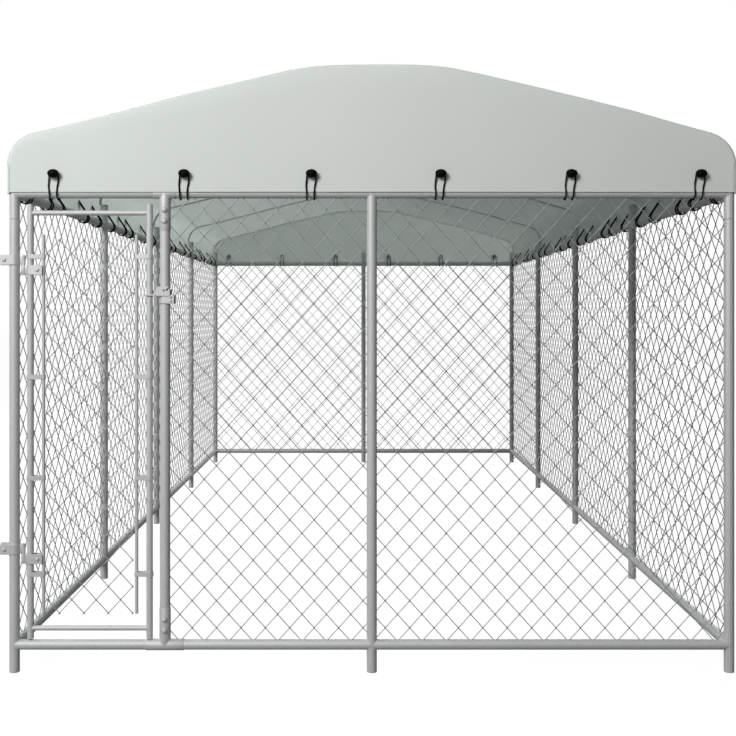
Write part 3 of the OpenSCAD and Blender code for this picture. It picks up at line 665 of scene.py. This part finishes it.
HINGES = (("upper", 1.707), ("lower", 0.496))
for level, z in HINGES:
    shape = bmesh.new()
    sweep(shape, strap_path(LEFT, TUBE_R + 0.0017, 0.066, -1, z + LEAF_H / 2),
        flat_section(STRAP_T, LEAF_H, 0.0008), Vector((0, 0, 1)))
    add_block(shape, (LEFT + TUBE_R + 0.002, FRONT - 0.005, z + 0.0004),
        (PIN_X, FRONT + 0.005, z + LEAF_H - 0.0004))
    turn(shape, [(0, LEAF_H), (0.006, LEAF_H), (0.0078, LEAF_H - 0.0012), (0.0078, 0.001), (0.0068, 0),
        (0.006, 0), (0.006, -LEAF_H + 0.002), (0.0045, -LEAF_H), (0, -LEAF_H)],
         standing(PIN_X, FRONT, z), 28)
    finish_piece(f"hinge_{level}_post_leaf", shape, plate_zinc,
        nodes=[f"{level}_post_hinge"])
    shape = bmesh.new()
    sweep(shape, strap_path(HINGE_X, STILE_R + 0.00165, 0.052, 1, z - LEAF_H / 2),
        flat_section(STRAP_T, LEAF_H - 0.001, 0.0008), Vector((0, 0, 1)))
    add_block(shape, (PIN_X + 0.0070, FRONT - 0.005, z - LEAF_H + 0.001),
        (HINGE_X - STILE_R - 0.001, FRONT + 0.005, z - 0.001))
    turn(shape, sleeve(LEAF_H - 0.001, 0.0095, 0.0032, 0.001), standing(PIN_X, FRONT, z - LEAF_H + 0.0005),
        28, closed=True)
    finish_piece(f"hinge_{level}_gate_leaf", shape, plate_zinc, "door",
        [f"{level}_gate_hinge"])

shape = bmesh.new()
for level, z in HINGES:
    add_bolt(shape, LEFT - 0.036, FRONT - TUBE_R - 0.0034, z + LEAF_H / 2, 2 * (TUBE_R + 0.0034), 0.008,
        0.017)
finish_piece("hinge_bolts_post", shape, bolt_zinc, nodes=["post_hinge_bolts"])
shape = bmesh.new()
for level, z in HINGES:
    add_bolt(shape, HINGE_X + 0.033, FRONT - STILE_R - 0.0034, z - LEAF_H / 2, 2 * (STILE_R + 0.0034),
        0.008, 0.017)
finish_piece("hinge_bolts_gate", shape, bolt_zinc, "door", ["gate_hinge_bolts"])

# %% [markdown]
# The latch sits on the door post. A clamp like the hinge straps is bolted round the post, and above it a
# pivot through the post carries a small plate and a finger on each side. The fingers reach past the
# door's stile, front and back, so the door is held until the fork is lifted.

# %% Latch
LATCH_Z, CLAMP_LOW, CLAMP_H = 1.600, 1.545, 0.038
shape = bmesh.new()
sweep(shape, strap_path(DOOR_POST_X, TUBE_R + 0.00215, 0.041, 1, CLAMP_LOW + CLAMP_H / 2),
    flat_section(0.004, CLAMP_H, 0.001), Vector((0, 0, 1)))
finish_piece("latch_clamp_strap", shape, plate_zinc, nodes=["latch_clamp"])
shape = bmesh.new()
for step in (0.011, 0.027):
    add_bolt(shape, DOOR_POST_X + 0.0275, FRONT - TUBE_R - 0.0044, CLAMP_LOW + step, 2 * (TUBE_R + 0.0044),
        0.006, 0.011)
finish_piece("latch_bolts", shape, bolt_zinc, nodes=["latch_clamp_bolts"])

FORK_Y, FORK_T, FINGER_R = TUBE_R + 0.00515, 0.003, 0.003
FINGER_Y = STILE_R + 0.001 + FINGER_R
shape = bmesh.new()
turn(shape, [(0, -FORK_Y - FORK_T), (0.0042, -FORK_Y - FORK_T), (0.005, -FORK_Y - FORK_T + 0.0008),
    (0.005, FORK_Y + FORK_T - 0.0008), (0.0042, FORK_Y + FORK_T), (0, FORK_Y + FORK_T)],
     lying_y(DOOR_POST_X, FRONT, LATCH_Z), 24)
for side in (-1, 1):
    outline = [(-0.032, -0.023), (0.024, -0.023), (0.024, 0.0085), (0.0165, 0.0025), (0.0155, -0.0020),
        (0.0115, -0.0030),
               (0.0080, -0.0005), (0.0080, 0.0045), (0.0120, 0.0070), (0.0205, 0.0145), (0.0185,
                   0.016), (-0.029, 0.016), (-0.032, 0.013)]
    corners = [shape.verts.new((DOOR_POST_X + x, FRONT + side * (FORK_Y + FORK_T / 2) - FORK_T / 2,
        LATCH_Z + z)) for x, z in outline]
    plate = shape.faces.new(corners)
    grown = bmesh.ops.extrude_face_region(shape, geom=[plate])["geom"]
    bmesh.ops.translate(shape, verts=[g for g in grown if isinstance(g, bmesh.types.BMVert)],
        vec=(0, FORK_T, 0))
    path = [Vector((DOOR_POST_X - 0.028, FRONT + side * (FORK_Y + FORK_T / 2), LATCH_Z - 0.020)),
            Vector((DOOR_POST_X - 0.034, FRONT + side * (FORK_Y + 0.0004), LATCH_Z - 0.020)),
            Vector((DOOR_POST_X - 0.040, FRONT + side * (FINGER_Y + 0.002), LATCH_Z - 0.020)),
            Vector((DOOR_POST_X - 0.046, FRONT + side * FINGER_Y, LATCH_Z - 0.020)),
            Vector((DOOR_POST_X - 0.076, FRONT + side * FINGER_Y, LATCH_Z - 0.020)),
            Vector((DOOR_POST_X - 0.079, FRONT + side * (FINGER_Y + 0.0008), LATCH_Z - 0.020))]
    sweep(shape, path, round_section(FINGER_R, 10), Vector((0, 0, 1)))
finish_piece("latch_lifting_fork", shape, plate_zinc, "latch", ["latch_fork"])

# %% [markdown]
# ## Canopy
# The canopy is one sewn sheet: skirts that hang over the top rails, rounded eaves, two slopes, a flat
# ridge, and gable panels at both ends. Its cross-section is drawn once, as a function of how far inside
# the cloth's outer face it runs, because the hoops and their pockets follow the same line. In the
# photograph the right slope is a little fuller than the left, so a few millimetres are moved across.

# %% Canopy outline
CLOTH_OUT = 0.026
CLOTH_X, CLOTH_Y = -LEFT + CLOTH_OUT, BACK + CLOTH_OUT
HEM_Z = RAIL_HIGH + 0.002
RIDGE_Z, EAVE_Z, RIDGE_HALF = RAIL_HIGH + 0.537, RAIL_HIGH + 0.231, 0.273
EAVE_R, CROWN_R = 0.145, 1.100
SLOPE = math.atan((RIDGE_Z - EAVE_Z) / (CLOTH_X - RIDGE_HALF))
SHOULDER_Z = EAVE_Z - EAVE_R * math.tan(math.pi / 4 - SLOPE / 2)
SKIRT_ROWS = (0.0, 0.008, 0.1, 0.25, 0.4, 0.55, 0.7, 0.85)


def arc_points(cx, cz, radius, start, end, count):
    return [(cx + radius * math.cos(start + (end - start) * i / count),
        cz + radius * math.sin(start + (end - start) * i / count)) for i in range(count + 1)]


def swell(x, start, end, height):
    return height * math.sin(math.pi * (x - start) / (end - start)) if start < x < end else 0.0


def roof_line(inset):
    skirt = [(CLOTH_X - inset, HEM_Z + (SHOULDER_Z - HEM_Z) * rise) for rise in SKIRT_ROWS]
    shoulder = arc_points(CLOTH_X - EAVE_R, SHOULDER_Z, EAVE_R - inset, 0, math.pi / 2 - SLOPE, 10)
    crown = arc_points(RIDGE_HALF - CROWN_R * math.tan(SLOPE / 2), RIDGE_Z - CROWN_R, CROWN_R - inset,
        math.pi / 2 - SLOPE, math.pi / 2, 8)
    (x0, z0), (x1, z1) = shoulder[-1], crown[0]
    fall = [(x0 + (x1 - x0) * i / 16, z0 + (z1 - z0) * i / 16) for i in range(1, 16)]
    flat = [(crown[-1][0] / 2, crown[-1][1])]
    half = skirt + shoulder + fall + crown + flat
    right = [(x, z + swell(x, 0.2, 1.48, 0.009) - swell(x, 1.1, 1.7, 0.006)) for x, z in half]
    left = [(-x, z - swell(x, 0.05, 0.8, 0.005) - swell(x, 0.75, 1.7, 0.0085)) for x, z in half]
    return right + [(0.0, RIDGE_Z - inset)] + left[::-1]


print("canopy outline", len(roof_line(0)), "points")

# %% [markdown]
# Five flat hoops hold the roof up: sprung strips sewn into pockets under the cloth, so that nothing of
# them shows from below but a soft band. Each is a flat section swept along the roof line. The posts
# end in plain gray caps, and the hoops stand on the rims of these caps.

# %% Hoops, pockets and caps
FOOT_Z = POST_TOP + 0.0124
HOOP_ROWS = (("front", [FRONT]), ("middle", [-BAY, 0, BAY]), ("back", [BACK]))
pocket = [(0.0028, -0.022), (0.0028, 0.022), (-0.0012, 0.0185), (-0.0022, 0.0165), (-0.0022, -0.0165),
    (-0.0012, -0.0185)]
pockets = bmesh.new()
for place, rows in HOOP_ROWS:
    shape = bmesh.new()
    for y in rows:
        for strip, line, section in ((shape, roof_line(0.0038), flat_section(0.0028, 0.030, 0.0006)),
                (pockets, roof_line(0.0042), pocket)):
            bow = [(line[0][0], FOOT_Z)] + [(x, z) for x, z in line
                if z > FOOT_Z + 0.004] + [(line[-1][0], FOOT_Z)]
            sweep(strip, [Vector((x, y, z)) for x, z in bow], section, Vector((0, 1, 0)))
    node = "middle_hoops" if place == "middle" else f"{place}_hoop"
    finish_piece(f"roof_hoop_{place}", shape, tube_zinc, nodes=[node])
finish_piece("hoop_pockets", pockets, canopy_cloth, sharp=50)

shape = bmesh.new()
for x, y in [(side, y) for side in (LEFT, RIGHT) for y in (FRONT, -BAY, 0, BAY, BACK)] + [(0, FRONT),
        (0, BACK)]:
    turn(shape, [(0, -0.020), (TUBE_R - 0.0026, -0.020), (TUBE_R - 0.0024, 0), (TUBE_R - 0.0006, 0.0003),
        (TUBE_R, 0.001), (TUBE_R, 0.008), (TUBE_R - 0.0012, 0.0104),
                 (TUBE_R - 0.0045, 0.0118), (0, 0.0122)], standing(x, y, POST_TOP), 32)
finish_piece("post_cap_set", shape, gray_plastic, nodes=["post_caps"])

# %% [markdown]
# The sheet itself is made as it is sewn. The first rows are drawn in a little, which rounds the rim
# where roof and gable meet; the rest carry the outline along the run; and the rim of each end is then
# extruded down to the hem to make the gable. Last, the cloth is eased: it sags a little between the
# hoops, and the eyelets pull small puckers in the skirts.

# %% Sew the canopy
front_bungees = [-1.3255, -0.7815, -0.2515, 0.2870, 0.8305, 1.3695]
side_bungees = [FRONT + b * BAY + y for b in range(4) for y in (0.1455, 0.4425, 0.6305, 1.072, 1.335)]
rim_rows = [(0.0, 0.012), (0.0012, 0.0072), (0.0040, 0.0032), (0.0078, 0.0009), (0.012, 0.0)]
ROWS = 96
sheet_rows = [(-CLOTH_Y + step, inset) for step, inset in rim_rows]
sheet_rows += [(-CLOTH_Y + 0.012 + (2 * CLOTH_Y - 0.024) * i / ROWS, 0.0) for i in range(1, ROWS)]
sheet_rows += [(CLOTH_Y - step, inset) for step, inset in reversed(rim_rows)]
shape = bmesh.new()
row = [shape.verts.new((x, -CLOTH_Y, z)) for x, z in roof_line(sheet_rows[0][1])]
edges = [shape.edges.new(pair) for pair in zip(row, row[1:])]
front_edges = list(edges)


def extrude_row(edges):
    grown = bmesh.ops.extrude_edge_only(shape, edges=edges)["geom"]
    fresh = [g for g in grown if isinstance(g, bmesh.types.BMVert)]
    known = set(fresh)
    return fresh, [g for g in grown if isinstance(g,
        bmesh.types.BMEdge) and g.verts[0] in known and g.verts[1] in known]


for (y0, inset0), (y1, inset1) in zip(sheet_rows, sheet_rows[1:]):
    fresh, edges = extrude_row(edges)
    before, after = roof_line(inset0), roof_line(inset1)
    for v in fresh:
        at = min(range(len(before)), key=lambda i: abs(before[i][0] - v.co.x) + abs(before[i][1] - v.co.z))
        v.co = (after[at][0], y1, after[at][1])
back_edges = list(edges)
for rim in (front_edges, back_edges):
    hanging = [e for e in rim if min(e.verts[0].co.z, e.verts[1].co.z) > SHOULDER_Z - 1e-5]
    above = 1.0
    for rise in SKIRT_ROWS[::-1]:
        fresh, hanging = extrude_row(hanging)
        for v in fresh:
            v.co.z = HEM_Z + (v.co.z - HEM_Z) * rise / above
        above = rise
bmesh.ops.remove_doubles(shape, verts=shape.verts[:], dist=1e-5)
bmesh.ops.recalc_face_normals(shape, faces=shape.faces[:])

# %% Ease the canopy
for v in shape.verts:
    x, y, z = v.co
    inside = max(0.0, 1 - (abs(y) / CLOTH_Y) ** 12)
    between = abs(math.sin(math.pi * (y - FRONT) / BAY)) ** 1.4
    roof = min(1.0, max(0.0, (z - SHOULDER_Z) / 0.09))
    v.co.z -= 0.005 * between * roof * inside * min(1.0, abs(x) / 0.25)
    if abs(y) < CLOTH_Y - 0.02 and z < SHOULDER_Z:
        near = min(abs(y - s) for s in side_bungees)
        v.co.x -= math.copysign(0.0012 * math.exp(-(near / 0.04) ** 2) * (SHOULDER_Z - z) / 0.14, x)
    elif abs(y) > CLOTH_Y - 1e-4 and abs(x) < CLOTH_X - 0.03:
        near = min(abs(x - (s if y < 0 else -s)) for s in front_bungees)
        v.co.y -= math.copysign(0.0012 * math.exp(-(near / 0.04) ** 2) * max(0.0, 1 - (z - HEM_Z) / 0.2), y)
canopy = finish_piece("canopy", shape, canopy_cloth,
    nodes=["canopy_roof", "canopy_front_gable", "canopy_back_gable"], sharp=60, merge=False, outward=False)
thick = canopy.modifiers.new("cloth_thickness", "SOLIDIFY")
thick.thickness = 0.0012
thick.offset = -1

# %% [markdown]
# ## Bungee loops
# Each loop starts in its black knob outside the cloth, drops over the hem, goes under the top rail and
# comes up inside to the eyelet behind the knob, which has a black ring. One loop and one knob are made
# at the origin, then copied to every place along the rails.

# %% One loop and its knob
CORD_R = 0.0032
CORD_OUT, CORD_IN = CLOTH_OUT + 0.0003 + CORD_R, TUBE_R + 0.0003 + CORD_R
LOOP_R, LOOP_Y = (CORD_OUT + CORD_IN) / 2, (CORD_IN - CORD_OUT) / 2
KNOB_Z, KNOB_Y = 0.078, CLOTH_OUT + 0.0003 + 0.018
lift = math.radians(33)


def loop_path(side):
    path = [Vector((side * 0.0190, -KNOB_Y + 0.010, KNOB_Z - 0.004)),
        Vector((side * 0.0195 - 0.001, -CORD_OUT - 0.004, KNOB_Z - 0.020)),
            Vector((side * 0.0195 - 0.003, -CORD_OUT - 0.0005,
                KNOB_Z - 0.038)), Vector((side * 0.0180 - 0.005, -CORD_OUT, 0.024))]
    for i in range(13):
        a = math.pi + (math.pi + lift) * i / 12
        path.append(Vector((side * 0.0155 - 0.005, LOOP_Y + LOOP_R * math.cos(a), LOOP_R * math.sin(a))))
    end = path[-1]
    reach = (end.y + CLOTH_OUT - 0.0006) / math.sin(lift)
    for share in (0.35, 0.7, 1.0):
        path.append(end + Vector((-side * 0.006 * share, -math.sin(lift) * reach * share,
            math.cos(lift) * reach * share)))
    return path


def knob_profile():
    half, radius = 0.0235, 0.018
    points = [(0, -half)]
    for i in range(1, 12):
        a = math.pi * i / 12
        points.append((radius * math.sin(a) ** 0.85, -half * math.cos(a)))
    return points + [(0, half)]


loop_mesh, knob_mesh = bpy.data.meshes.new("loop"), bpy.data.meshes.new("knob")
shape = bmesh.new()
for side in (-1, 1):
    sweep(shape, loop_path(side), round_section(CORD_R, 8), Vector((1, 0, 0)))
eye = loop_path(1)[-1]
turn(shape, [(0.0045, 0.0004), (0.0095, 0.0004), (0.0100, 0.0012), (0.0085, 0.0022), (0.0060, 0.0022),
    (0.0045, 0.0012)], lying_y(-0.0015, eye.y, eye.z), 14, closed=True)
shape.to_mesh(loop_mesh)
shape.free()
shape = bmesh.new()
turn(shape, knob_profile(), lying_x(0, -KNOB_Y, KNOB_Z), 20)
bmesh.ops.remove_doubles(shape, verts=shape.verts[:], dist=1e-6)
shape.to_mesh(knob_mesh)
shape.free()

# %% Tie the canopy down
front_spots = [standing(x, FRONT, RAIL_HIGH) for x in front_bungees]
back_spots = [standing(-x, BACK, RAIL_HIGH) @ Matrix.Rotation(math.pi, 4, "Z") for x in front_bungees]
left_spots = [standing(LEFT, y, RAIL_HIGH) @ Matrix.Rotation(-math.pi / 2, 4, "Z") for y in side_bungees]
right_spots = [standing(RIGHT, y, RAIL_HIGH) @ Matrix.Rotation(math.pi / 2, 4, "Z") for y in side_bungees]
for wall, spots in (("front", front_spots), ("back", back_spots), ("left", left_spots),
        ("right", right_spots)):
    for kind, mesh, finish, slot in (("cords", loop_mesh, cord_braid, "bungee_cord"),
            ("knobs", knob_mesh, knob_plastic, "bungee_knob")):
        shape = bmesh.new()
        for place in spots:
            known = len(shape.verts)
            shape.from_mesh(mesh)
            shape.verts.ensure_lookup_table()
            bmesh.ops.transform(shape, matrix=place, verts=shape.verts[known:])
        finish_piece(f"tie_{kind}_{wall}", shape, finish, nodes=[f"{wall}_bungee_{kind}"], merge=False)

# %% [markdown]
# ## Floor and light
# The photograph has a white ground and background and soft light from the left. A large soft lamp in
# front on the left gives the shading across the tubes. One over the left slope and two behind shine
# through the cloth. The world fills in, and the background is white only to the camera.

# %% Floor
FLOOR_HALF, FLOOR_GLOW, GLOW_SHARE = 60, 1.54, 0.62
shape = bmesh.new()
bmesh.ops.create_grid(shape, x_segments=2, y_segments=2, size=FLOOR_HALF)
mesh = bpy.data.meshes.new("floor")
shape.to_mesh(mesh)
shape.free()
floor = bpy.data.objects.new("floor", mesh)
bpy.context.scene.collection.objects.link(floor)
floor_paint, nodes, links, shader, place = start_finish("floor_paint", (0.18, 0.18, 0.18), 0.9, 0.0)
glow = nodes.new("ShaderNodeEmission")
glow.inputs["Strength"].default_value = FLOOR_GLOW
ray = nodes.new("ShaderNodeLightPath")
mix = nodes.new("ShaderNodeMixShader")
seen = nodes.new("ShaderNodeMath")
seen.operation = "MULTIPLY"
seen.inputs[1].default_value = GLOW_SHARE
links.new(ray.outputs["Is Camera Ray"], seen.inputs[0])
links.new(seen.outputs[0], mix.inputs["Fac"])
links.new(shader.outputs[0], mix.inputs[1])
links.new(glow.outputs[0], mix.inputs[2])
links.new(mix.outputs[0], nodes["Material Output"].inputs["Surface"])
mesh.materials.append(floor_paint)

# %% World and lamps
FILL_LEFT, FILL_RIGHT = 0.36, 0.08
LAMP_SIDE = 3.0
world = bpy.data.worlds.new("studio")
bpy.context.scene.world = world
world.use_nodes = True
nodes, links = world.node_tree.nodes, world.node_tree.links
fill = nodes["Background"]
heading = nodes.new("ShaderNodeTexCoord")
split = nodes.new("ShaderNodeSeparateXYZ")
links.new(heading.outputs["Generated"], split.inputs[0])
fall = nodes.new("ShaderNodeMapRange")
fall.inputs["From Min"].default_value = -0.9
fall.inputs["From Max"].default_value = 0.9
fall.inputs["To Min"].default_value = FILL_LEFT
fall.inputs["To Max"].default_value = FILL_RIGHT
links.new(split.outputs["X"], fall.inputs["Value"])
links.new(fall.outputs["Result"], fill.inputs["Strength"])
white = nodes.new("ShaderNodeBackground")
white.inputs["Strength"].default_value = 1.0
ray = nodes.new("ShaderNodeLightPath")
mix = nodes.new("ShaderNodeMixShader")
links.new(ray.outputs["Is Camera Ray"], mix.inputs["Fac"])
links.new(fill.outputs[0], mix.inputs[1])
links.new(white.outputs[0], mix.inputs[2])
links.new(mix.outputs[0], nodes["World Output"].inputs["Surface"])
fill.inputs["Color"].default_value = (1, 1, 1, 1)
white.inputs["Color"].default_value = (1, 1, 1, 1)


def add_lamp(name, place, target, power):
    data = bpy.data.lights.new(name, "AREA")
    data.shape = "RECTANGLE"
    data.size, data.size_y = LAMP_SIDE, LAMP_SIDE
    data.energy = power
    lamp = bpy.data.objects.new(name, data)
    lamp.location = place
    lamp.rotation_euler = (Vector(target) - Vector(place)).to_track_quat("-Z", "Y").to_euler()
    bpy.context.scene.collection.objects.link(lamp)


add_lamp("key_left", (-3.9, -9.1, 5.3), (0, -3.0, 1.4), 500)
add_lamp("over_left", (-6.4, 0.2, 5.4), (-1.2, 0.2, 2.2), 290)
add_lamp("back_left", (-3.5, 9.5, 5.0), (0, 3.0, 2.2), 140)
add_lamp("back_right", (6.0, 8.5, 6.0), (0.8, 1.0, 2.2), 310)
bpy.context.scene.view_settings.view_transform = "Standard"
